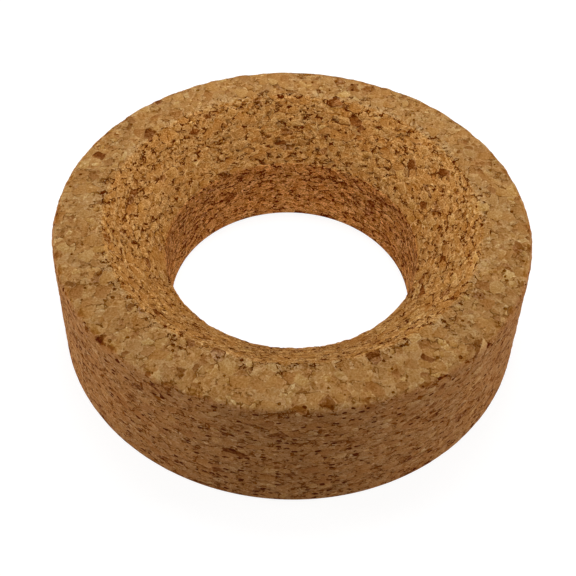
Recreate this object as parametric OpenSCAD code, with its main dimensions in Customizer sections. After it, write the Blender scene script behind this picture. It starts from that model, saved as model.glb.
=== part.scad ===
// Cork ring: a stand that keeps a round-bottomed flask upright on a bench.
// It is one piece of granulated cork, cut and turned to a ring. Its flat base lies on the
// plane z = 0 with the bore's axis on z, and every size is in millimetres.

/* [Ring] */
// Diameter of the outer wall at the base
base_d = 110; // [94:1:200]
// Height from the base to the flat top
ring_h = 30.5; // [15:0.5:80]
// How far the outer wall leans in by the time it reaches the top
wall_lean = 1.7; // [0:0.1:6]

/* [Flask seat] */
// Diameter of the seat's mouth, where it meets the flat top
seat_d = 84.5; // [64:0.5:102]
// Depth of the sloping seat, from the flat top down to the bore
seat_depth = 12.5; // [3:0.5:26]

/* [Bore] */
// Diameter of the straight hole between the seat and the base
bore_d = 59; // [20:1:80]

/* [Edges] */
// Rounding where the outer wall meets the flat top
top_edge_r = 1.6; // [0.3:0.1:4]
// Rounding where the flat top dips into the seat
mouth_edge_r = 2.4; // [0.3:0.1:8]
// Rounding where the seat drops into the bore
throat_edge_r = 1.2; // [0.3:0.1:6]
// Rounding where the bore meets the base
bore_edge_r = 0.5; // [0.3:0.1:4]
// Rounding where the outer wall meets the base
base_edge_r = 0.5; // [0.3:0.1:4]

/* [Hidden] */

// Radii of the ring's walls
base_r = base_d / 2;
top_r = base_r - wall_lean;
seat_r = seat_d / 2;
bore_r = bore_d / 2;

// Height of the throat, where the seat ends and the bore begins
throat_z = ring_h - seat_depth;

// The share of a side of the section that one rounding may take up
edge_share = 0.45;

// How far a corner's cutter reaches, counted in distances from its circle's centre
cutter_reach = 2;

// How far a circle stands past the sides that it rounds into, so that it surely meets them
hair = 0.0002;

// Facets of a whole turn, for the ring and for each rounding
turn_fn = 180;
edge_fn = 96;

// The sharp corners of the half section, as [[radius, height], rounding], once round it
corners = [
    [[bore_r, 0], bore_edge_r],
    [[base_r, 0], base_edge_r],
    [[top_r, ring_h], top_edge_r],
    [[seat_r, ring_h], mouth_edge_r],
    [[bore_r, throat_z], throat_edge_r],
];
corner_count = len(corners);

// A corner's place, and the unit vectors from it along its two sides
function place(i) = corners[(i + corner_count) % corner_count][0];
function heading(from, to) = (to - from) / norm(to - from);
function side_back(i) = heading(place(i), place(i - 1));
function side_on(i) = heading(place(i), place(i + 1));

// Half of the angle that the cork fills at a corner
function half_angle(i) = acos(side_back(i) * side_on(i)) / 2;

// The rounding of a corner, which gives way where a side is too short for it
function shorter_side(i) = min(norm(place(i) - place(i - 1)), norm(place(i + 1) - place(i)));
function edge_r(i) = min(corners[i][1], edge_share * shorter_side(i) * tan(half_angle(i)));

// Where the rounding starts and ends on the two sides, and the centre that it turns about
function setback(i) = edge_r(i) / tan(half_angle(i));
function edge_start(i) = place(i) + setback(i) * side_back(i);
function edge_end(i) = place(i) + setback(i) * side_on(i);
function edge_centre(i) =
    place(i) + heading([0, 0], side_back(i) + side_on(i)) * edge_r(i) / sin(half_angle(i));

// What the rounding takes off a corner: its tip, less the circle that is left in it. The tip
// spreads from the circle's centre to past the corner, so that it crosses the sides squarely.
function past(i, point) = edge_centre(i) + cutter_reach * (point - edge_centre(i));
module corner_waste(i) {
    difference() {
        polygon([edge_centre(i), past(i, edge_start(i)), past(i, place(i)), past(i, edge_end(i))]);
        translate(edge_centre(i)) circle(r = edge_r(i) + hair, $fn = edge_fn);
    }
}

// The half section: straight sides, with a true arc at each corner
module ring_section() {
    difference() {
        polygon([for (corner = corners) corner[0]]);
        for (i = [0 : corner_count - 1]) corner_waste(i);
    }
}

module cork_ring() {
    color([0.58, 0.40, 0.22])
        rotate_extrude($fn = turn_fn) ring_section();
}

cork_ring();
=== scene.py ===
# %% [markdown]
# # A granulated cork ring
# This ring holds a round-bottomed flask upright on a bench. The real one is a single piece:
# crushed cork is pressed to a board with a little binder, a ring is cut from the board, and a
# sloping seat is turned into its top. So there is one piece to make here, and its looks come
# from two things: a soft, slightly worn turned form, and the granules that every cut runs
# through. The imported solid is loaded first, because everything else is measured on it.

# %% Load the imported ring
import math

import bpy
from mathutils import Matrix, Vector


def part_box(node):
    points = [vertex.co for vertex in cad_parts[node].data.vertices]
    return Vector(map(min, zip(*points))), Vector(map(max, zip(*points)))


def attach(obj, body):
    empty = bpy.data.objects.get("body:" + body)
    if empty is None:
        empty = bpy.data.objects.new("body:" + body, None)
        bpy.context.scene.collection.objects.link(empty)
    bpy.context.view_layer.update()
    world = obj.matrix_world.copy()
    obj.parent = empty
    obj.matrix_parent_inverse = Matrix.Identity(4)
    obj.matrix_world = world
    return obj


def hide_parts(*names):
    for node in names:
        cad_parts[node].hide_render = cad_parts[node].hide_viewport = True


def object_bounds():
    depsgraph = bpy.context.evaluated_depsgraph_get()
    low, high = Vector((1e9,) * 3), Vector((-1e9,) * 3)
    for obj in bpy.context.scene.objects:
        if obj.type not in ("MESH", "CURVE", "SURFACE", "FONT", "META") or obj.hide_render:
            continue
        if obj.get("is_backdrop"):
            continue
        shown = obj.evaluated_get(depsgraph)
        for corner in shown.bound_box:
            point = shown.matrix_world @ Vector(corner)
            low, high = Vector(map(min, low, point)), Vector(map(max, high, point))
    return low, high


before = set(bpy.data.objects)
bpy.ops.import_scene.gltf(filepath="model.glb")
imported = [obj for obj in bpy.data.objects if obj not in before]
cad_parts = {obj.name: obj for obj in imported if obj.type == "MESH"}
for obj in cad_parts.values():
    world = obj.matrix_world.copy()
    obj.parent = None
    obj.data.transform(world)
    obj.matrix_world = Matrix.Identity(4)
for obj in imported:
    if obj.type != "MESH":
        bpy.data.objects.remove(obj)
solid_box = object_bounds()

MM = 0.001
# Two heights or places that are closer than this are taken as one
HAIR = 0.001 * MM
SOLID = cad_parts["cork_ring"]
ring_low, ring_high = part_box("cork_ring")
ring_height = ring_high.z - ring_low.z
print("solid ring, in mm:", [round(v / MM, 2) for v in ring_high - ring_low])

# %% [markdown]
# ## Read the half section
# A turned part is known by its half section: the outline that you would see on one side if it
# were sawn through its axis. It could be typed in again here, but then two files would hold
# the same sizes and could drift apart. Instead it is read off the solid: each corner point of
# its mesh has a distance from the axis and a height, and few different pairs exist, because
# the same pairs come back all the way round. The section is convex, so sorting the pairs by
# their direction from its middle puts them in order.

# %% Read the half section
ROUND_TO = 6


def half_section(solid):
    """The section's (radius, height) points in metres, from the bore's foot along the base."""
    places = [(v.co.xy.length, v.co.z) for v in solid.data.vertices]
    pairs = sorted({(round(r, ROUND_TO), round(z, ROUND_TO)) for r, z in places})
    middle = sum((Vector(pair) for pair in pairs), Vector((0, 0))) / len(pairs)
    foot = Vector((pairs[0][0], 0)) - middle
    return sorted(pairs, key=lambda pair: turn_from(foot, Vector(pair) - middle))


def turn_from(start, arm):
    """The turn from one direction to another, anticlockwise, from 0 up to a whole turn."""
    return (math.atan2(arm.y, arm.x) - math.atan2(start.y, start.x)) % math.tau


section = half_section(SOLID)
print("points in the half section:", len(section), "first", section[0], "last", section[-1])

# %% [markdown]
# ## Small helpers for node trees
# The same pattern of granules has to shape the surface and colour it, or the dark gaps would
# miss the dents that they belong to. Blender gives its noise and cell textures to Geometry
# Nodes and to materials alike, so these helpers write nodes into either kind of tree, and the
# pattern below is written once. Each helper takes a number, a colour or another node's output.

# %% Helpers that add a node
def feed(tree, socket, value):
    """Links an output to the socket, or sets the socket to a plain value."""
    if isinstance(value, bpy.types.NodeSocket):
        tree.links.new(value, socket)
    else:
        socket.default_value = value


def add(tree, kind, inputs=(), **settings):
    """A new node with its settings and its first inputs, or its named ones."""
    node = tree.nodes.new(kind)
    for name, value in settings.items():
        setattr(node, name, value)
    pairs = inputs.items() if isinstance(inputs, dict) else enumerate(inputs)
    for key, value in pairs:
        feed(tree, node.inputs[key], value)
    return node


# %% Helpers for numbers
def maths(tree, operation, *values):
    """One step of arithmetic."""
    return add(tree, "ShaderNodeMath", values, operation=operation).outputs[0]


def total(tree, *values):
    """All the numbers added up."""
    result = values[0]
    for value in values[1:]:
        result = maths(tree, "ADD", result, value)
    return result


def product(tree, *values):
    """All the numbers multiplied."""
    result = values[0]
    for value in values[1:]:
        result = maths(tree, "MULTIPLY", result, value)
    return result


def ramp(tree, value, start, end, low=0.0, high=1.0, soft=True):
    """Goes from low to high while the value goes from start to end, and stays there."""
    inputs = {"Value": value, "From Min": start, "From Max": end, "To Min": low, "To Max": high}
    smoothness = "SMOOTHSTEP" if soft else "LINEAR"
    return add(tree, "ShaderNodeMapRange", inputs, interpolation_type=smoothness).outputs[0]


def blend(tree, share, first, second):
    """A number between two others."""
    inputs = {0: share, 2: first, 3: second}
    return add(tree, "ShaderNodeMix", inputs, data_type="FLOAT", clamp_factor=True).outputs[0]


# %% Helpers for vectors
def vector_maths(tree, operation, *vectors):
    """One step of arithmetic on vectors, which gives a vector."""
    return add(tree, "ShaderNodeVectorMath", vectors, operation=operation).outputs[0]


def scaled(tree, vector, factor):
    """The vector times one number."""
    inputs = {"Vector": vector, "Scale": factor}
    return add(tree, "ShaderNodeVectorMath", inputs, operation="SCALE").outputs[0]


def measured(tree, operation, *vectors):
    """One step of arithmetic on vectors, which gives a number, such as a length."""
    return add(tree, "ShaderNodeVectorMath", vectors, operation=operation).outputs["Value"]


def parts(tree, vector):
    """The three numbers that a vector or a colour holds."""
    return add(tree, "ShaderNodeSeparateXYZ", [vector]).outputs


# %% Helpers for patterns
def noise(tree, place, size, detail=2.0, roughness=0.5):
    """Noise whose blobs are about this size."""
    inputs = {"Vector": place, "Scale": 1 / size, "Detail": detail, "Roughness": roughness}
    return add(tree, "ShaderNodeTexNoise", inputs)


def cells(tree, place, size, feature="F1"):
    """A honeycomb of uneven cells, about this size across."""
    inputs = {"Vector": place, "Scale": 1 / size}
    return add(tree, "ShaderNodeTexVoronoi", inputs, feature=feature)


# %% [markdown]
# ## The pressed granules
# Crushed cork is a mix of coarse and fine granules with ragged outlines. When it is pressed to
# a board they are squeezed flat, so a cut along the board shows broad flakes, and a cut across
# it shows thin layers. A picture wrapped round the ring couldn't show both. A solid pattern
# can: it fills space, and each surface shows the slice that it cuts. Uneven cells in two sizes
# stand for the granules. Noise bends them, which makes their outlines ragged, and their height
# is squeezed, which lays them flat. Each granule also leans its own way. The lean tilts its
# bump, and it is also painted into the colour as painted shade, so one side of a granule is
# lighter than the other. A coarse one leans less, or it would look like a pebble. Every size
# in this cell is in millimetres.

# %% The pressed granules
COARSE_GRANULE, COARSE_LEAN = 2.7, 0.25
FINE_GRANULE, FINE_LEAN = 1.3, 1.0
SQUEEZE = 1.8
# The share of coarse granules that are broken up into fine ones
BROKEN_SHARE = 0.68
FINE_TIGHTER = 0.03
BEND_SIZE, BEND_REACH = 2.2, 1.2
RAG_SIZE, RAG_REACH = 0.6, 0.5
# Noise and random numbers run from 0 to 1, and this is their middle
MIDDLE = 0.5
MIDDLE_COLOUR = (MIDDLE, MIDDLE, MIDDLE)


def bent(tree, place, size, reach):
    """The place, pushed about by noise."""
    push = noise(tree, place, size).outputs["Color"]
    push = vector_maths(tree, "SUBTRACT", push, MIDDLE_COLOUR)
    return vector_maths(tree, "ADD", place, scaled(tree, push, reach))


def granule_cells(tree, place, size, steepness):
    """One size of granule: three random numbers, how near its outline is, and how it leans."""
    centre = cells(tree, place, size)
    edge = cells(tree, place, size, "DISTANCE_TO_EDGE").outputs["Distance"]
    arm = vector_maths(tree, "SUBTRACT", place, centre.outputs["Position"])
    lean = vector_maths(tree, "SUBTRACT", centre.outputs["Color"], MIDDLE_COLOUR)
    fate, tone, level = parts(tree, centre.outputs["Color"])
    return {
        "fate": fate,
        "tone": tone,
        "level": level,
        "edge": product(tree, edge, size),
        "across": measured(tree, "DOT_PRODUCT", arm, scaled(tree, lean, steepness)),
    }


def pressed_granules(tree, place):
    """The granules at a place in mm. A coarse one that is broken up shows fine ones instead."""
    flat = vector_maths(tree, "MULTIPLY", place, (1, 1, SQUEEZE))
    ragged = bent(tree, bent(tree, flat, BEND_SIZE, BEND_REACH), RAG_SIZE, RAG_REACH)
    coarse = granule_cells(tree, ragged, COARSE_GRANULE, COARSE_LEAN)
    fine = granule_cells(tree, ragged, FINE_GRANULE, FINE_LEAN)
    broken = maths(tree, "LESS_THAN", coarse["fate"], BROKEN_SHARE)
    # Fine granules are pressed tighter, so the gaps between them are thinner
    nearer = maths(tree, "MINIMUM", coarse["edge"], total(tree, fine["edge"], FINE_TIGHTER))
    return {
        "flat": flat,
        "ragged": ragged,
        "tone": blend(tree, broken, coarse["tone"], fine["tone"]),
        "level": blend(tree, broken, coarse["level"], fine["level"]),
        "edge": blend(tree, broken, coarse["edge"], nearer),
        "across": blend(tree, broken, coarse["across"], fine["across"]),
        "coarse": coarse,
        "fine": fine,
    }


print("granules, in mm across:", COARSE_GRANULE, "coarse and", FINE_GRANULE, "fine")

# %% [markdown]
# ## Roll a grid into the ring
# The ring follows a rule: walk along the section, and turn it round the axis. It could be made
# with Spin or the Screw modifier, but the surface also has to be dented granule by granule, and
# for that each corner needs its own place, normal and pattern. Geometry Nodes can do all of it
# in one tree. Its sizes are inputs with names, so they can be tried in the modifier's panel
# without opening the tree.

# %% The tree and its named sizes
SIZES = {
    # The base's length is in metres, and the steps and depths are in mm
    "Squares round": ("NodeSocketInt", 488),
    "Squares along": ("NodeSocketInt", 204),
    "Squares on the base": ("NodeSocketInt", 12),
    "Base length": ("NodeSocketFloat", 0.0245),
    "Granule step": ("NodeSocketFloat", 0.22),
    "Gap depth": ("NodeSocketFloat", 0.14),
    "Pit depth": ("NodeSocketFloat", 0.5),
    "Wear depth": ("NodeSocketFloat", 0.32),
    "Chip depth": ("NodeSocketFloat", 0.15),
}


def new_ring_tree():
    """An empty tree with the ring's named inputs. Gives the tree and its input node's outputs."""
    tree = bpy.data.node_groups.new("turned cork ring", "GeometryNodeTree")
    tree.interface.new_socket("Section", in_out="INPUT", socket_type="NodeSocketGeometry")
    for name, (kind, value) in SIZES.items():
        socket = tree.interface.new_socket(name, in_out="INPUT", socket_type=kind)
        socket.default_value = value
    tree.interface.new_socket("Cork", in_out="INPUT", socket_type="NodeSocketMaterial")
    tree.interface.new_socket("Ring", in_out="OUTPUT", socket_type="NodeSocketGeometry")
    return tree, add(tree, "NodeGroupInput").outputs


print("squares round and along:", SIZES["Squares round"][1], SIZES["Squares along"][1])

# %% [markdown]
# ## The rolled grid
# A flat grid is rolled up twice: one way round the axis, the other way along the section. Its
# two seams are then merged, so the ring is closed. The base is never seen, so it gets few
# squares and the rest of the section gets more.

# %% The rolled grid
# The flat grid is 1 wide and lies about its middle, so its places start at -0.5
HALF_GRID = 0.5


def own_place(tree):
    """The place of each corner of the mesh."""
    return add(tree, "GeometryNodeInputPosition").outputs[0]


def share_of_section(tree, given, station, whole):
    """How far along the section a row of corners lies, from 0 to 1, with few rows on the base."""
    base_rows = maths(tree, "DIVIDE", given["Squares on the base"], given["Squares along"])
    base_share = maths(tree, "DIVIDE", given["Base length"], whole)
    other_share = maths(tree, "SUBTRACT", 1.0, base_share)
    on_base = ramp(tree, station, 0.0, base_rows, 0.0, base_share, soft=False)
    past_base = ramp(tree, station, base_rows, 1.0, 0.0, other_share, soft=False)
    return total(tree, on_base, past_base)


def rolled_grid(tree, given):
    """The grid's corners, placed on the turned section."""
    corners_round = total(tree, given["Squares round"], 1)
    corners_along = total(tree, given["Squares along"], 1)
    grid = add(tree, "GeometryNodeMeshGrid", [1, 1, corners_round, corners_along])
    x, y, _ = parts(tree, own_place(tree))
    angle = product(tree, total(tree, x, HALF_GRID), math.tau)
    station = total(tree, y, HALF_GRID)
    outline = add(tree, "GeometryNodeMeshToCurve", [given["Section"]]).outputs[0]
    whole = add(tree, "GeometryNodeCurveLength", [outline]).outputs[0]
    sample = add(tree, "GeometryNodeSampleCurve", mode="FACTOR", data_type="FLOAT")
    feed(tree, sample.inputs["Curves"], outline)
    feed(tree, sample.inputs["Factor"], share_of_section(tree, given, station, whole))
    radius, _, height = parts(tree, sample.outputs["Position"])
    to_right = product(tree, radius, maths(tree, "COSINE", angle))
    to_back = product(tree, radius, maths(tree, "SINE", angle))
    place = add(tree, "ShaderNodeCombineXYZ", [to_right, to_back, height]).outputs[0]
    inputs = {"Geometry": grid.outputs["Mesh"], "Position": place}
    rolled = add(tree, "GeometryNodeSetPosition", inputs).outputs[0]
    inputs = {"Geometry": rolled, "Distance": HAIR}
    return add(tree, "GeometryNodeMergeByDistance", inputs).outputs[0]


# %% [markdown]
# ## Cut, torn and worn surfaces
# One block of cork looks different on each of this ring's surfaces, because each was cut in its
# own way. The top and the base are sawn and sanded, and are nearly flush. The outer wall is a
# cut across the layers, with small pits. The seat and the bore are turned against the grain,
# which tears granules out, and the tearing runs out a little way over the flat top. A surface's
# direction tells which it is, so how far it faces away from the axis is worked out before the
# surface is dented, and kept on the mesh as "facing", for the material to read: -1 in the bore,
# about -0.7 in the seat, 0 on top and 1 outside.

# %% Which cut a surface is
# The facing at which each cut begins, and at which it is full
SEAT_FACING = (-0.22, -0.42)
BORE_FACING = (-0.76, -0.96)
WALL_FACING = (0.45, 0.85)
# How much sooner or later than its neighbours a granule is torn, in facing and in mm
SEAT_ODDS, MOUTH_ODDS = 0.40, 3.0
# How far outside and inside the seat's mouth the tearing starts and is full, in mm
TORN_OUTSIDE, TORN_INSIDE = 2.6, 1.4
MOUTH_RADIUS = min(radius for radius, height in section if height > ring_high.z - HAIR) / MM
# Above half the ring's height, as the squeezed pattern counts it, a level place is on the top
TOP_FROM = 0.5 * ring_height / MM * SQUEEZE


def facing_outwards(tree):
    """How far the surface faces away from the axis, from -1 to 1."""
    normal = add(tree, "GeometryNodeInputNormal").outputs[0]
    from_axis = vector_maths(tree, "MULTIPLY", own_place(tree), (1, 1, 0))
    outwards = vector_maths(tree, "NORMALIZE", from_axis)
    return measured(tree, "DOT_PRODUCT", normal, outwards)


def cut_shares(tree, facing, granules):
    """How far a place is the torn seat or bore, the outer wall, and the bore alone, 0 to 1."""
    # A granule at the seat's mouth is torn or it isn't, so the border follows the granules
    odds = maths(tree, "SUBTRACT", granules["tone"], MIDDLE)
    ragged_facing = total(tree, facing, product(tree, odds, SEAT_ODDS))
    seat = ramp(tree, ragged_facing, *SEAT_FACING)
    # The tearing fades out over the flat top, so the border is also soft
    from_axis = vector_maths(tree, "MULTIPLY", granules["flat"], (1, 1, 0))
    radius = measured(tree, "LENGTH", from_axis)
    radius = total(tree, radius, product(tree, odds, MOUTH_ODDS))
    mouth = ramp(tree, radius, MOUTH_RADIUS + TORN_OUTSIDE, MOUTH_RADIUS - TORN_INSIDE)
    on_top = maths(tree, "GREATER_THAN", parts(tree, granules["flat"])[2], TOP_FROM)
    inner = maths(tree, "MAXIMUM", seat, product(tree, mouth, on_top))
    outer = ramp(tree, facing, *WALL_FACING)
    bore = ramp(tree, facing, *BORE_FACING)
    return inner, outer, bore


print("the seat's mouth, in mm from the axis:", round(MOUTH_RADIUS, 2))

# %% [markdown]
# ## Chips, pits and rough cuts
# Two kinds of dent are cork that is gone. A fine granule that is torn out of a cut leaves a pit,
# and a coarse one that breaks out of a rounded outer edge leaves a chip. Both are worked out as
# a share from 0 to 1. The relief makes them deep, and the material finds the chips by the same
# share. How rough a cut is decides how deep its steps, gaps and pits go.

# %% Chips, pits and rough cuts
# Where a rounded outer edge begins and ends, in facing
EDGE_BEGINS, EDGE_ENDS = (0.03, 0.25), (0.97, 0.75)
# A coarse granule whose random number is below this is loose
LOOSE_BELOW = 0.4
# A fine granule whose random number is above this is lost
LOST_ABOVE = 0.93
# How far it is from a granule's outline to the bottom of its chip or pit, in mm
CHIP_SLOPE, PIT_SLOPE = 0.5, 0.45
# How rough the bore and the outer wall are, against 1 in the seat
BORE_ROUGHNESS, WALL_ROUGHNESS = 0.6, 0.5


def chipped_share(tree, facing, granules):
    """Where a coarse granule has broken out of a rounded outer edge, from 0 to 1."""
    begins = ramp(tree, facing, *EDGE_BEGINS)
    on_edge = product(tree, begins, ramp(tree, facing, *EDGE_ENDS))
    loose = maths(tree, "LESS_THAN", granules["coarse"]["level"], LOOSE_BELOW)
    bowl = ramp(tree, granules["coarse"]["edge"], 0.0, CHIP_SLOPE)
    return product(tree, on_edge, loose, bowl)


def pitted_share(tree, granules):
    """Where a fine granule is lost, from 0 to 1."""
    lost = maths(tree, "GREATER_THAN", granules["fine"]["fate"], LOST_ABOVE)
    return product(tree, lost, ramp(tree, granules["fine"]["edge"], 0.0, PIT_SLOPE))


def cut_roughness(tree, inner, outer, bore):
    """How rough a cut is, from 0 on the flat top to 1 in the seat."""
    from_seat = ramp(tree, bore, 0.0, 1.0, 1.0, BORE_ROUGHNESS, soft=False)
    torn = product(tree, inner, from_seat)
    return maths(tree, "MAXIMUM", torn, product(tree, outer, WALL_ROUGHNESS))


print("pits and chips, in mm deep:", SIZES["Pit depth"][1], SIZES["Chip depth"][1])

# %% [markdown]
# ## The relief
# Five things shape a cut through cork, and each is a plain number of millimetres, so they can
# be added up. Granules end a little higher or lower than their neighbours. The gaps between
# them are grooves. Lost granules leave pits and chips. Handling wears the whole form into long
# soft waves. All of it fades out at the foot, so the ring stands flat on its base.

# %% The relief
# How deep the steps and gaps are on the flat top, against 1 in the seat
LAND_DEPTH = 0.3
# How far a groove reaches from a granule's outline, in mm
GROOVE_REACH = 0.5
WAVE_SIZE, WAVE_DETAIL = 9.0, 3.0
# The random level and the wave at which a place stands neither proud nor sunk
USUAL_LEVEL, USUAL_WAVE = 0.45, 0.42
FOOT_HEIGHT = 1.5 * MM


def relief(tree, given, facing):
    """How far the surface stands proud of the clean turned form, in mm. Dents are below 0."""
    spot = own_place(tree)
    place = scaled(tree, spot, 1 / MM)
    granules = pressed_granules(tree, place)
    rough = cut_roughness(tree, *cut_shares(tree, facing, granules))
    depth = ramp(tree, rough, 0.0, 1.0, LAND_DEPTH, 1.0, soft=False)
    level = maths(tree, "SUBTRACT", granules["level"], USUAL_LEVEL)
    step = product(tree, level, given["Granule step"])
    groove = ramp(tree, granules["edge"], 0.0, GROOVE_REACH, 1.0, 0.0)
    gap = product(tree, groove, given["Gap depth"])
    stepped = product(tree, maths(tree, "SUBTRACT", step, gap), depth)
    wave = noise(tree, place, WAVE_SIZE, WAVE_DETAIL).outputs[0]
    wear = product(tree, maths(tree, "SUBTRACT", wave, USUAL_WAVE), given["Wear depth"])
    pit = product(tree, pitted_share(tree, granules), given["Pit depth"], rough)
    chip = product(tree, chipped_share(tree, facing, granules), given["Chip depth"])
    proud = maths(tree, "SUBTRACT", total(tree, stepped, wear), pit)
    proud = maths(tree, "SUBTRACT", proud, chip)
    return product(tree, proud, ramp(tree, parts(tree, spot)[2], 0.0, FOOT_HEIGHT))


print("waves, in mm long:", WAVE_SIZE)

# %% [markdown]
# ## The whole tree
# The steps run in this order: roll the grid, store which way it faces while it is still clean,
# push each corner along its normal by the relief, shade it smooth, and set its material. The
# facing is read back from the mesh, because the normals change as soon as the corners move.

# %% The whole tree
def build_ring_tree():
    """The tree that turns the half section into the dented ring."""
    tree, given = new_ring_tree()
    store = add(tree, "GeometryNodeStoreNamedAttribute", data_type="FLOAT", domain="POINT")
    feed(tree, store.inputs["Geometry"], rolled_grid(tree, given))
    feed(tree, store.inputs["Name"], "facing")
    feed(tree, store.inputs["Value"], facing_outwards(tree))
    stored = add(tree, "GeometryNodeInputNamedAttribute", ["facing"], data_type="FLOAT")
    proud = product(tree, relief(tree, given, stored.outputs[0]), MM)
    offset = scaled(tree, add(tree, "GeometryNodeInputNormal").outputs[0], proud)
    inputs = {"Geometry": store.outputs[0], "Offset": offset}
    dented = add(tree, "GeometryNodeSetPosition", inputs).outputs[0]
    smooth = add(tree, "GeometryNodeSetShadeSmooth", [dented]).outputs[0]
    real = add(tree, "GeometryNodeRealizeInstances", [smooth]).outputs[0]
    inputs = {"Geometry": real, "Material": given["Cork"]}
    painted = add(tree, "GeometryNodeSetMaterial", inputs).outputs[0]
    add(tree, "NodeGroupOutput", [painted])
    return tree


ring_tree = build_ring_tree()
print("nodes in the ring's tree:", len(ring_tree.nodes))

# %% [markdown]
# ## The cork's tones
# Bare cork is dull, so its look is nearly all colour and relief. Its colour runs along one
# line, from bark brown through tan to pale straw, so a granule needs only one number for how
# pale it is. What differs between the surfaces is how strong each mark is. So the strengths
# stand in one table, with a column for each cut: a sanded face shows whole flakes, and a torn
# one shows gaps, slopes and crumbs.

# %% The cork's tones
CORK_TONES = (
    (0.0, (0.086, 0.0140, 0.0004)),
    (0.2, (0.148, 0.039, 0.0018)),
    (0.4, (0.232, 0.084, 0.0125)),
    (0.6, (0.342, 0.157, 0.046)),
    (0.8, (0.455, 0.243, 0.095)),
    (1.0, (0.585, 0.352, 0.165)),
)
USUAL_TONE = 0.62
FINISH = {
    # One number each for the sanded faces, the outer wall, the seat and the bore. Most rows
    # say how much a mark changes the tone. A gap's width is in mm. A speck's size is a part of
    # its cell, and its share a part of all cells. Bump is how much of the fine relief shows.
    "usual granule": (0.19, 0.12, 0.10, 0.14),
    "pale granule": (0.30, 0.32, 0.20, 0.24),
    "brown granule": (0.50, 0.28, 0.30, 0.28),
    # This row is painted shade: how much a granule's lean lightens one side and darkens the other
    "slope": (0.34, 0.35, 0.58, 0.72),
    "mottle": (0.14, 0.15, 0.26, 0.36),
    # This row is a painted highlight on the rim of a granule that stands high
    "rim_highlight": (0.10, 0.10, 0.22, 0.28),
    "gap": (0.30, 0.38, 0.84, 1.16),
    "gap width": (-0.03, 0.01, 0.00, 0.03),
    "speck": (0.44, 1.40, 1.00, 1.04),
    "speck size": (0.34, 0.52, 0.32, 0.36),
    "speck share": (0.36, 0.36, 0.24, 0.40),
    "fleck": (0.20, 0.18, 0.38, 0.46),
    "bump": (0.6, 0.9, 1.4, 1.4),
}


def by_cut(tree, values, mix, inner, outer, bore):
    """A value or colour for the land, wall, seat and bore, blended for where the surface is."""
    land, wall, seat, deep = values
    return mix(tree, inner, mix(tree, outer, land, wall), mix(tree, bore, seat, deep))


print("tones:", len(CORK_TONES), "and rows in the finish table:", len(FINISH))

# %% [markdown]
# ## A granule's own tone
# Most granules are close to tan, and a few are pale straw or dark brown. A random number alone
# would give as many of each, so it is raised to a high power: that leaves the usual granules
# near 0 and lets only the odd one go far.

# %% A granule's own tone
# How sharply the odd granule differs from the usual one
ODDNESS = 5


def own_tone(tree, granules, finish):
    """How pale a granule is, below 0 for a brown one."""
    usual = ramp(tree, granules["tone"], 0.0, 1.0, -1.0, 1.0, soft=False)
    pale = maths(tree, "POWER", maths(tree, "MAXIMUM", usual, 0), ODDNESS)
    not_pale = maths(tree, "MAXIMUM", product(tree, usual, -1), 0)
    brown = maths(tree, "POWER", not_pale, ODDNESS)
    usual_step = product(tree, usual, finish["usual granule"])
    pale_step = product(tree, pale, finish["pale granule"])
    brown_step = product(tree, brown, finish["brown granule"])
    return maths(tree, "SUBTRACT", total(tree, usual_step, pale_step), brown_step)


print("how odd a granule half way to the palest is:", round(MIDDLE ** ODDNESS, 3))

# %% [markdown]
# ## Gaps and specks
# Between the granules lie gaps, which are dark because little light gets in. They are thin and
# broken on a sanded face, and wide where the tool tore the cork, so noise opens and shuts them.
# Specks are small holes and bits of bark. On the outer wall they show as short dark dashes,
# because everything in the board lies flat.

# %% Gaps and specks
GAP_PATCH, GAP_DETAIL, GAP_UNEVENNESS = 1.8, 3.0, 0.6
# The noise at which a gap is shut and wide open, its half width at each, and its soft rim
GAP_SHUT, GAP_OPEN = 0.43, 0.60
SHUT_WIDTH, OPEN_WIDTH, GAP_RIM = -0.12, 0.13, 0.03
# The smallest spot is less than nothing, so that it doesn't show
SMALLEST_SPOT, SPOT_RIM = -0.05, 0.06
SPECK_CELL, SPECK_BEND, SPECK_SQUEEZE = 1.5, 0.55, 1.3


def gap_share(tree, granules, finish):
    """Where the dark gaps between granules show, from 0 to 1."""
    loose = noise(tree, granules["flat"], GAP_PATCH, GAP_DETAIL, GAP_UNEVENNESS).outputs[0]
    width = ramp(tree, loose, GAP_SHUT, GAP_OPEN, SHUT_WIDTH, OPEN_WIDTH, soft=False)
    width = total(tree, width, finish["gap width"])
    return ramp(tree, maths(tree, "SUBTRACT", width, granules["edge"]), -GAP_RIM, GAP_RIM)


def spots(tree, place, size, share, largest):
    """Spots, from 0 to 1. Some cells have one, as large as the cell's random number says."""
    spot = cells(tree, place, size)
    chance = parts(tree, spot.outputs["Color"])[0]
    rarest = maths(tree, "SUBTRACT", 1.0, share)
    radius = ramp(tree, chance, rarest, 1.0, SMALLEST_SPOT, largest, soft=False)
    return ramp(tree, maths(tree, "SUBTRACT", radius, spot.outputs["Distance"]), 0.0, SPOT_RIM)


def speck_share(tree, granules, finish):
    """Where a dark speck lies, from 0 to 1."""
    crumbs = bent(tree, granules["flat"], RAG_SIZE, SPECK_BEND)
    lying = vector_maths(tree, "MULTIPLY", crumbs, (1, 1, SPECK_SQUEEZE))
    return spots(tree, lying, SPECK_CELL, finish["speck share"], finish["speck size"])


print("widest speck, in mm:", round(2 * SPECK_CELL * max(FINISH["speck size"]), 2))

# %% [markdown]
# ## Bark and chips
# A few coarse granules are of dark bark, uneven inside. A chip is painted darker than the
# surface round it. Both are added to the darkness of the gaps and specks. A gap and a speck
# aren't added to each other, because a hole in a hole is no darker, so the darker one counts.

# %% Bark and chips
BARK_SHARE, BARK_SLOPE = 0.04, 0.25
BARK_DARK, BARK_DARKEST = 0.08, 0.40
# How much darker a chip is painted
CHIP_DARK = 0.20


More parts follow.
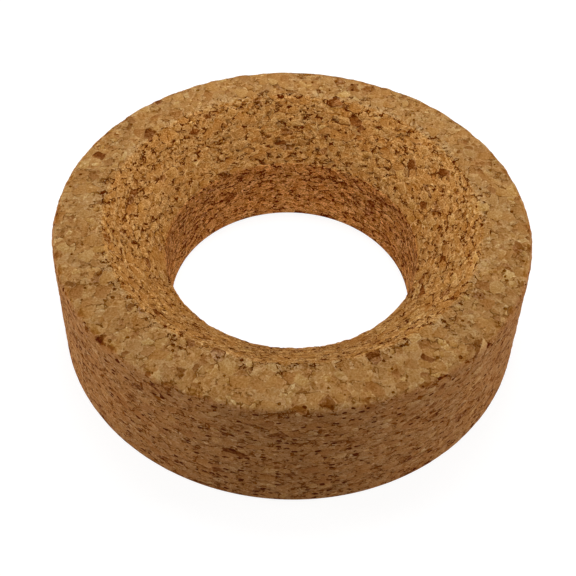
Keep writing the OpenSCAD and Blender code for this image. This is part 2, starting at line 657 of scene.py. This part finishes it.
def bark_share(tree, granules):
    """How dark the odd granule of bark is, uneven inside, 0 elsewhere."""
    coarse, fine = granules["coarse"], granules["fine"]
    kind = maths(tree, "LESS_THAN", coarse["tone"], BARK_SHARE)
    inside = ramp(tree, coarse["edge"], 0.0, BARK_SLOPE)
    uneven = ramp(tree, fine["tone"], 0.0, 1.0, BARK_DARK, BARK_DARKEST, soft=False)
    return product(tree, kind, inside, uneven)


def darkness(tree, finish, gap, speck, bark, chipped):
    """How much darker a place's marks make it, all together."""
    in_gap = product(tree, gap, finish["gap"])
    in_speck = product(tree, speck, finish["speck"])
    marks = maths(tree, "MAXIMUM", in_gap, in_speck)
    return total(tree, marks, bark, product(tree, chipped, CHIP_DARK))


print("coarse granules that are bark, in a hundred:", round(100 * BARK_SHARE))

# %% [markdown]
# ## The light and shade inside a granule
# Four things make cork lighter or darker inside a granule. Its surface slopes its own way, and
# that slope is painted in as painted shade. Fine grain mottles it. Where it stands high, its rim
# gets a painted highlight. Small pale crumbs, which are called flecks here, stick to it. Each is
# a step of tone, so they are added to the usual one.

# %% The light and shade inside a granule
GRAIN_SIZE, GRAIN_DETAIL, GRAIN_UNEVENNESS = 0.40, 2.0, 0.6
# The noise at which the grain is darkest, and at which it is palest
GRAIN_DARK, GRAIN_PALE = 0.30, 0.70
# How far from a granule's outline its painted rim highlight is still full,
# and where it has gone, in mm
RIM_FULL, RIM_GONE = 0.05, 0.28
# A granule whose random level is above this stands high
HIGH_ABOVE = 0.5
# Flecks read the pattern at another place, so that they don't follow the granules
FLECK_OFFSET = (31, 17, 5)
FLECK_CELL, FLECK_SHARE, FLECK_SIZE = 0.95, 0.35, 0.36


def painted_rim_highlight(tree, granules):
    """The painted highlight on the rim of a granule that stands high, from 0 to 1."""
    rim_highlight = ramp(tree, granules["edge"], RIM_FULL, RIM_GONE, 1.0, 0.0)
    return product(tree, rim_highlight, maths(tree, "GREATER_THAN", granules["level"], HIGH_ABOVE))


def paleness(tree, granules, finish, inside, grain):
    """How pale a place is, with painted shade and highlight, before its dark marks are taken off.
    """
    # Painted shade from each granule's lean
    slope = product(tree, granules["across"], inside, finish["slope"])
    mottle = ramp(tree, grain, GRAIN_DARK, GRAIN_PALE, -1.0, 1.0, soft=False)
    mottle = product(tree, mottle, finish["mottle"])
    # A painted highlight on the rims of granules that stand high
    rim_highlight = product(tree, painted_rim_highlight(tree, granules), finish["rim_highlight"])
    elsewhere = vector_maths(tree, "ADD", granules["ragged"], FLECK_OFFSET)
    fleck = spots(tree, elsewhere, FLECK_CELL, FLECK_SHARE, FLECK_SIZE)
    fleck = product(tree, fleck, finish["fleck"])
    return total(tree, slope, mottle, rim_highlight, fleck, USUAL_TONE)


print("grain and flecks, in mm:", GRAIN_SIZE, round(2 * FLECK_CELL * FLECK_SIZE, 2))

# %% [markdown]
# ## Tints
# Each cut has its own tint: the sanded top is dusty and so a little duller, and the bore is
# warm, because much of its light has bounced off cork before. The gaps on the cuts that cross
# the layers are redder than the cork round them, for the same reason. The granules come from
# different pieces of bark, so they drift between straw and rust in patches, and the dark ones
# of bark are greyer.

# %% Tints
LAND_TINT = (0.98, 1.04, 1.05, 1)
WALL_TINT = (0.96, 0.905, 0.95, 1)
SEAT_TINT = (1.17, 1.12, 0.90, 1)
BORE_TINT = (1.61, 1.39, 1.05, 1)
# The facing at which the seat's tint starts, and at which it is full
TINT_FACING = (-0.10, -0.60)
STRAW_TINT = (0.98, 1.02, 1.08, 1)
RUST_TINT = (1.02, 0.98, 0.90, 1)
PATCH_SIZE, PATCH_DETAIL, PATCH_UNEVENNESS, PATCH_CONTRAST = 5.0, 2.0, 0.6, 2.6
# The tint of bark, and how much faster it comes on than bark's darkness
BARK_TINT, BARK_TINT_GAIN = (0.97, 1.0, 1.6), 3.0
HOLLOW_TINT = (1.10, 0.97, 0.55)


def mix_colours(tree, share, first, second):
    """A colour between two others."""
    inputs = {0: share, 6: first, 7: second}
    return add(tree, "ShaderNodeMix", inputs, data_type="RGBA", clamp_factor=True).outputs[2]


def tinted(tree, share, colour, tint):
    """The colour, with a share of the tint laid over it."""
    return mix_colours(tree, share, colour, vector_maths(tree, "MULTIPLY", colour, tint))


def cut_tint(tree, facing, outer, bore):
    """The tint of the surface. It follows the direction alone, so it changes smoothly."""
    sloping = ramp(tree, facing, *TINT_FACING)
    tints = (LAND_TINT, WALL_TINT, SEAT_TINT, BORE_TINT)
    return by_cut(tree, tints, mix_colours, sloping, outer, bore)


def patch_tint(tree, granules):
    """The drift between rust and straw."""
    patch = noise(tree, granules["flat"], PATCH_SIZE, PATCH_DETAIL, PATCH_UNEVENNESS).outputs[0]
    patch = product(tree, maths(tree, "SUBTRACT", patch, MIDDLE), PATCH_CONTRAST)
    patch = total(tree, patch, granules["coarse"]["level"])
    return mix_colours(tree, patch, RUST_TINT, STRAW_TINT)


print("tints of the land, wall, seat and bore:", LAND_TINT, WALL_TINT, SEAT_TINT, BORE_TINT)

# %% [markdown]
# ## The colour of a place
# A ramp turns the tone into a colour, and the tints multiply it one after another. A granule's
# own tone multiplies it last, and changes blue more than red, so that a pale granule is straw
# and a brown one rusty all over, with the same light and shade inside.

# %% The colour of a place
# How much of a granule's own tone red, green and blue take
PALE_SHARES = (0.60, 1.0, 1.3)


def colour_ramp(tree, value, stops):
    """The colour at a value, between the colours of the stops on both sides of it."""
    node = add(tree, "ShaderNodeValToRGB", [value])
    points = node.color_ramp.elements
    while len(points) < len(stops):
        points.new(0.5)
    for point, (position, colour) in zip(points, stops):
        point.position = position
        point.color = (*colour, 1)
    return node.outputs["Color"]


def cork_colour(tree, facing, granules, cut, lightness, bark, hollow):
    """The colour of a place that is as light as this, before its granule's own tone."""
    inner, outer, bore = cut
    colour = colour_ramp(tree, lightness, CORK_TONES)
    colour = vector_maths(tree, "MULTIPLY", colour, cut_tint(tree, facing, outer, bore))
    colour = vector_maths(tree, "MULTIPLY", colour, patch_tint(tree, granules))
    colour = tinted(tree, product(tree, bark, BARK_TINT_GAIN), colour, BARK_TINT)
    across_layers = maths(tree, "MAXIMUM", inner, outer)
    return tinted(tree, product(tree, hollow, across_layers), colour, HOLLOW_TINT)


def own_tint(tree, own):
    """What a granule's own tone multiplies red, green and blue by."""
    channels = [maths(tree, "POWER", math.e, product(tree, own, share)) for share in PALE_SHARES]
    return add(tree, "ShaderNodeCombineXYZ", channels).outputs[0]


print("shares of a granule's own tone in red, green and blue:", PALE_SHARES)

# %% [markdown]
# ## The cork material
# The material reads the pattern at the same places as the tree that shaped the ring, so its
# gaps lie in the grooves. What is finer than the mesh's squares is left to it, as a bump that
# is made of the same grain, slopes and gaps. Cork is full of tiny cut cells that scatter light
# evenly, so it is rough and has next to no shine.

# %% The cork material
# How far inside its outline a granule's own tone and slope count in full, in mm
INSIDE = 0.16
GRAIN_BUMP, SLOPE_BUMP, HOLLOW_BUMP = 0.20, 0.30, 0.22
CORK_ROUGHNESS, CORK_SHINE = 0.85, 0.02


def fine_relief(tree, granules, finish, grain, hollow):
    """The height of what is finer than the mesh, in mm."""
    slope = product(tree, granules["across"], SLOPE_BUMP)
    raised = total(tree, product(tree, grain, GRAIN_BUMP), slope)
    height = maths(tree, "SUBTRACT", raised, product(tree, hollow, HOLLOW_BUMP))
    return product(tree, height, finish["bump"])


def cork_material():
    """The cork, with its granules, dark marks, colour and bump."""
    material = bpy.data.materials.new("granulated_cork")
    material.use_nodes = True
    tree = material.node_tree
    tree.nodes.clear()
    spot = add(tree, "ShaderNodeTexCoord").outputs["Object"]
    facing = add(tree, "ShaderNodeAttribute", attribute_name="facing").outputs["Fac"]
    granules = pressed_granules(tree, scaled(tree, spot, 1 / MM))
    cut = cut_shares(tree, facing, granules)
    finish = {name: by_cut(tree, values, blend, *cut) for name, values in FINISH.items()}
    speck = speck_share(tree, granules, finish)
    gap = gap_share(tree, granules, finish)
    hollow = maths(tree, "MAXIMUM", gap, speck)
    bark = bark_share(tree, granules)
    chipped = chipped_share(tree, facing, granules)
    dark = darkness(tree, finish, gap, speck, bark, chipped)
    # How much a granule's own tone and slope count fades out at its ragged edge
    inside = ramp(tree, granules["edge"], 0.0, INSIDE)
    own = product(tree, own_tone(tree, granules, finish), inside)
    grain = noise(tree, granules["ragged"], GRAIN_SIZE, GRAIN_DETAIL, GRAIN_UNEVENNESS).outputs[0]
    pale = paleness(tree, granules, finish, inside, grain)
    lightness = maths(tree, "SUBTRACT", pale, dark)
    colour = cork_colour(tree, facing, granules, cut, lightness, bark, hollow)
    colour = vector_maths(tree, "MULTIPLY", colour, own_tint(tree, own))
    height = fine_relief(tree, granules, finish, grain, hollow)
    bump = add(tree, "ShaderNodeBump", {"Strength": 1.0, "Distance": MM, "Height": height})
    shader = add(tree, "ShaderNodeBsdfPrincipled")
    feed(tree, shader.inputs["Base Color"], colour)
    shader.inputs["Roughness"].default_value = CORK_ROUGHNESS
    shader.inputs["Specular IOR Level"].default_value = CORK_SHINE
    feed(tree, shader.inputs["Normal"], bump.outputs[0])
    add(tree, "ShaderNodeOutputMaterial", [shader.outputs[0]])
    return material


cork = cork_material()
print("nodes in the cork material:", len(cork.node_tree.nodes))

# %% [markdown]
# ## Make the ring
# The section goes in as a loop of edges, the tree turns it into the ring, and the result is
# taken as a plain mesh, so that nothing has to be worked out again later. The ring then rides
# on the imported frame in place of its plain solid.

# %% Make the ring
def section_loop(points):
    """The section as a closed loop of edges in the plane of x and z."""
    mesh = bpy.data.meshes.new("half_section")
    count = len(points)
    corners = [(radius, 0, height) for radius, height in points]
    mesh.from_pydata(corners, [(i, (i + 1) % count) for i in range(count)], [])
    loop = bpy.data.objects.new("half_section", mesh)
    bpy.context.scene.collection.objects.link(loop)
    return loop


def evaluated_mesh(maker, name):
    """What the maker's modifier makes, as a plain mesh."""
    bpy.context.view_layer.update()
    graph = bpy.context.evaluated_depsgraph_get()
    mesh = bpy.data.meshes.new_from_object(maker.evaluated_get(graph), depsgraph=graph)
    mesh.name = name
    return mesh


def make_ring(tree):
    """The finished ring. The loop that it is made from is removed."""
    maker = section_loop(section)
    modifier = maker.modifiers.new("turned ring", "NODES")
    modifier.node_group = tree
    sockets = {s.name: s.identifier for s in tree.interface.items_tree if s.in_out == "INPUT"}
    base_radii = [radius for radius, height in section if height < ring_low.z + HAIR]
    settings = {"Base length": max(base_radii) - section[0][0], "Cork": cork}
    for name, value in settings.items():
        modifier[sockets[name]] = value
    mesh = evaluated_mesh(maker, "cork_ring_skin")
    ring = bpy.data.objects.new("cork_ring_skin", mesh)
    bpy.context.scene.collection.objects.link(ring)
    bpy.data.objects.remove(maker)
    return ring


ring = make_ring(ring_tree)
triangles = sum(len(face.vertices) - 2 for face in ring.data.polygons)
print("ring:", len(ring.data.vertices), "corners,", triangles, "triangles")
print("attributes:", [a.name for a in ring.data.attributes])
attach(ring, "root")
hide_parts("cork_ring")

# %% [markdown]
# ## The floor
# The ring stands on a floor that looks white and still keeps the ring's soft shadow. A floor
# that is lit until it looks white would throw all that light back at the ring. So its white is
# mostly a glow that only the camera, mirrors and glass see in full, and what lights the ring is
# mostly the plain paint under it. The glow is stronger far off, where there is no shadow.

# %% The floor
FLOOR_HALF = 2.0
FLOOR_PAINT = (0.9, 0.9, 0.9, 1)
WHITE = (1, 1, 1, 1)
GLOW_STRENGTH = 1.15
# The glow's share in the light on the ring, and in what the camera sees near and far off
UNSEEN_GLOW, NEAR_GLOW, FAR_GLOW = 0.15, 0.75, 0.95
# Near and far, in metres from the ring's axis
NEAR, FAR = 0.1, 0.6


def floor_material():
    """White to the camera and pale grey to the ring."""
    material = bpy.data.materials.new("pale_floor")
    material.use_nodes = True
    tree = material.node_tree
    tree.nodes.clear()
    rays = add(tree, "ShaderNodeLightPath").outputs
    clear = maths(tree, "MAXIMUM", rays["Is Glossy Ray"], rays["Is Transmission Ray"])
    seen = maths(tree, "MAXIMUM", rays["Is Camera Ray"], clear)
    away = measured(tree, "LENGTH", add(tree, "ShaderNodeTexCoord").outputs["Object"])
    seen_glow = ramp(tree, away, NEAR, FAR, NEAR_GLOW, FAR_GLOW)
    share = ramp(tree, seen, 0.0, 1.0, UNSEEN_GLOW, seen_glow, soft=False)
    paint = add(tree, "ShaderNodeBsdfDiffuse", [FLOOR_PAINT]).outputs[0]
    glow = add(tree, "ShaderNodeEmission", {"Color": WHITE, "Strength": GLOW_STRENGTH}).outputs[0]
    mixed = add(tree, "ShaderNodeMixShader", [share, paint, glow]).outputs[0]
    add(tree, "ShaderNodeOutputMaterial", [mixed])
    return material


bpy.ops.mesh.primitive_plane_add(size=2 * FLOOR_HALF, location=(0, 0, ring_low.z))
floor = bpy.context.object
floor.name = "floor"
floor.data.materials.append(floor_material())
floor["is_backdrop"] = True
print("floor, in metres across:", 2 * FLOOR_HALF)

# %% [markdown]
# ## The light
# The light is that of a plain small studio. A lamp with a narrow beam hangs over the back half,
# so the flat top and the far side of the seat are the brightest. Two low lamps, left and right,
# light the flanks of the outer wall and bring out its granules, while its front stays darker.
# A wide, warm lamp above the front softens the shadows, and a grey surround lifts them all a
# little. To the camera that surround is white.

# %% The light
SURROUND_LIGHT, SURROUND_SEEN = 0.22, 1.0
RING_MIDDLE = (0, 0, ring_height / 2)
BACK_HALF = (0, 0.06, ring_height / 2)
NARROW_BEAM = math.radians(80)
NEUTRAL, WARM = (1, 1, 1), (1.0, 0.95, 0.88)
LAMPS = {
    # Where it hangs, what it is aimed at, its size in metres, its power in watts, its colour
    "overhead": ((0, 0.10, 0.30), BACK_HALF, 0.16, 0.165, NEUTRAL),
    "left": ((-0.4, 0, 0.05), RING_MIDDLE, 0.10, 0.90, NEUTRAL),
    "right": ((0.4, 0, 0.05), RING_MIDDLE, 0.10, 0.78, NEUTRAL),
    "front": ((0, -0.2, 0.4), RING_MIDDLE, 0.30, 0.53, WARM),
}


def area_lamp(name, place, target, size, power, colour):
    """A square lamp that shines from its place at the target."""
    data = bpy.data.lights.new(name, "AREA")
    data.shape = "SQUARE"
    data.size = size
    data.energy = power
    data.color = colour
    lamp = bpy.data.objects.new(name, data)
    lamp.location = place
    beam = Vector(target) - Vector(place)
    lamp.rotation_euler = beam.to_track_quat("-Z", "Y").to_euler()
    lamp.visible_camera = False
    bpy.context.scene.collection.objects.link(lamp)
    return lamp


def studio_world():
    """A surround that lights the ring a little and is white to the camera."""
    world = bpy.data.worlds.new("studio")
    bpy.context.scene.world = world
    world.use_nodes = True
    tree = world.node_tree
    tree.nodes.clear()
    seen = add(tree, "ShaderNodeLightPath").outputs["Is Camera Ray"]
    around = add(tree, "ShaderNodeBackground", [WHITE, SURROUND_LIGHT]).outputs[0]
    behind = add(tree, "ShaderNodeBackground", [WHITE, SURROUND_SEEN]).outputs[0]
    mixed = add(tree, "ShaderNodeMixShader", [seen, around, behind]).outputs[0]
    add(tree, "ShaderNodeOutputWorld", [mixed])


studio_world()
lamps = {name: area_lamp(name, *settings) for name, settings in LAMPS.items()}
lamps["overhead"].data.spread = NARROW_BEAM
print("lamps, in watts:", {name: round(lamp.data.energy, 3) for name, lamp in lamps.items()})

# %% [markdown]
# ## The camera
# The camera stands close, as for a small thing on a table, and looks down at about 45 degrees,
# so that the seat, the bore and the outer wall all show. It is aimed at the ring's axis, rolled
# by a hair and then slid up in its own plane. A lens shift brings the ring back up in the frame
# without turning the camera. The focal length is given in pixels of the square frame.

# %% The camera
FRAME_PIXELS = 576
SENSOR_WIDTH = 36
FOCAL_PIXELS = 847.3
VIEW_HEIGHT = math.radians(45.50)
VIEW_ROLL = 0.0275
VIEW_DISTANCE = 212.66 * MM
# How far the ring is slid in the view, by moving the camera the other way
SLIDE_RIGHT, SLIDE_DOWN = 0.50 * MM, 16.33 * MM
LENS_SHIFT = -0.1


def make_camera():
    """The camera, which looks along +Y and down at the ring."""
    data = bpy.data.cameras.new("camera")
    data.sensor_width = SENSOR_WIDTH
    data.lens = FOCAL_PIXELS / FRAME_PIXELS * data.sensor_width
    data.shift_y = LENS_SHIFT
    ahead = Vector((0, math.cos(VIEW_HEIGHT), -math.sin(VIEW_HEIGHT)))
    right = Vector((1, 0, 0))
    up = right.cross(ahead)
    turned = Matrix((right, up, -ahead)).transposed() @ Matrix.Rotation(VIEW_ROLL, 3, "Z")
    camera = bpy.data.objects.new("camera", data)
    place = -VIEW_DISTANCE * ahead - turned @ Vector((SLIDE_RIGHT, -SLIDE_DOWN, 0))
    camera.matrix_world = Matrix.Translation(place) @ turned.to_4x4()
    bpy.context.scene.collection.objects.link(camera)
    bpy.context.scene.camera = camera
    return camera


camera = make_camera()
bpy.context.scene.view_settings.view_transform = "Standard"
print("camera, in mm:", [round(v / MM) for v in camera.matrix_world.translation])

# %% [markdown]
# ## The sizes, and the end
# A worn surface stands a little proud of the solid in places and sunk in others. So the box of
# the solid and the box of the dressed ring are both written down, and can be compared.

# %% Write the sizes and finish
boxes = {"cad": solid_box, "visual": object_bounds()}
for name, box in boxes.items():
    print(name, "box, in mm:", [[round(v / MM, 2) for v in corner] for corner in box])
